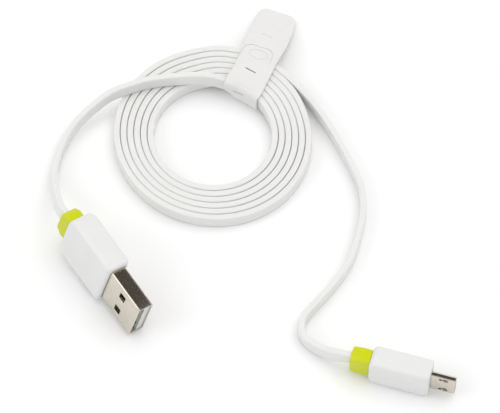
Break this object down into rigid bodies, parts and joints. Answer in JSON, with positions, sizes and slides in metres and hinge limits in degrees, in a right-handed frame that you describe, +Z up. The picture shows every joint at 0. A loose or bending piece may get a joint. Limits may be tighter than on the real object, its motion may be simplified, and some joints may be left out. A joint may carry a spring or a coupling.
{
  "type": "charging cable",
  "caption": "Flat charging cable with a USB-A plug and a micro-B plug, wound into a flat coil and tied with a silicone strap.",
  "frame": {"origin": "on the surface the cable lies on, under the middle of the box round its two plugs and its strap", "axes": "+Z up; +X towards the micro-B plug's side; +Y towards the strap's paddle"},
  "size_m": [0.1036, 0.1156, 0.0172],
  "materials": {
    "cord_white": "satin TPE jacket",
    "overmould_white": "fine satin moulding",
    "collar_green": "satin",
    "shell_steel": "nickel plated, satin",
    "contact_gold": "gold flash",
    "insulator_white": "satin",
    "insulator_black": "satin",
    "inner_mould": "natural polyethylene",
    "strap_silicone": "translucent matte silicone",
    "wire_red": "extruded insulation",
    "wire_white": "extruded insulation",
    "wire_green": "extruded insulation",
    "wire_black": "extruded insulation"
  },
  "bodies": {
    "cable": {"cord_usb_a_side": "cord_white", "cord_coil": "cord_white", "cord_micro_b_side": "cord_white", "usb_a_overmould": "overmould_white", "usb_a_strain_relief": "collar_green", "usb_a_shell": "shell_steel", "usb_a_rear_can": "shell_steel", "usb_a_tongue": "insulator_white", "usb_a_inner_mould": "inner_mould", "usb_a_contact_vbus": "contact_gold", "usb_a_contact_data_minus": "contact_gold", "usb_a_contact_data_plus": "contact_gold", "usb_a_contact_ground": "contact_gold", "usb_a_wire_red": "wire_red", "usb_a_wire_white": "wire_white", "usb_a_wire_green": "wire_green", "usb_a_wire_black": "wire_black", "micro_b_overmould": "overmould_white", "micro_b_strain_relief": "collar_green", "micro_b_shell": "shell_steel", "micro_b_rear_can": "shell_steel", "micro_b_insulator": "insulator_black", "micro_b_inner_mould": "inner_mould", "micro_b_contact_1": "contact_gold", "micro_b_contact_2": "contact_gold", "micro_b_contact_3": "contact_gold", "micro_b_contact_4": "contact_gold", "micro_b_contact_5": "contact_gold", "micro_b_wire_red": "wire_red", "micro_b_wire_white": "wire_white", "micro_b_wire_green": "wire_green", "micro_b_wire_black": "wire_black", "strap_base": "strap_silicone"},
    "latch_upper": {"micro_b_latch_upper": "shell_steel"},
    "latch_lower": {"micro_b_latch_lower": "shell_steel"},
    "flap": {"strap_flap": "strap_silicone"}
  },
  "joints": [
    {"name": "latch_upper_flex", "type": "hinge", "parent": "cable", "child": "latch_upper", "pos_m": [0.04055, -0.0545, 0.0074], "axis": [0, 0, 1], "range_deg": [0, 3.4], "stiffness_Nm_per_rad": 0.09},
    {"name": "latch_lower_flex", "type": "hinge", "parent": "cable", "child": "latch_lower", "pos_m": [0.04055, -0.0545, 0.0027], "axis": [0, 0, 1], "range_deg": [0, 3.4], "stiffness_Nm_per_rad": 0.09},
    {"name": "strap_flap_lift", "type": "hinge", "parent": "cable", "child": "flap", "pos_m": [-0.00376, 0.0284, 0.0081], "axis": [0.9336, -0.3584, 0], "range_deg": [0, 100]}
  ]
}
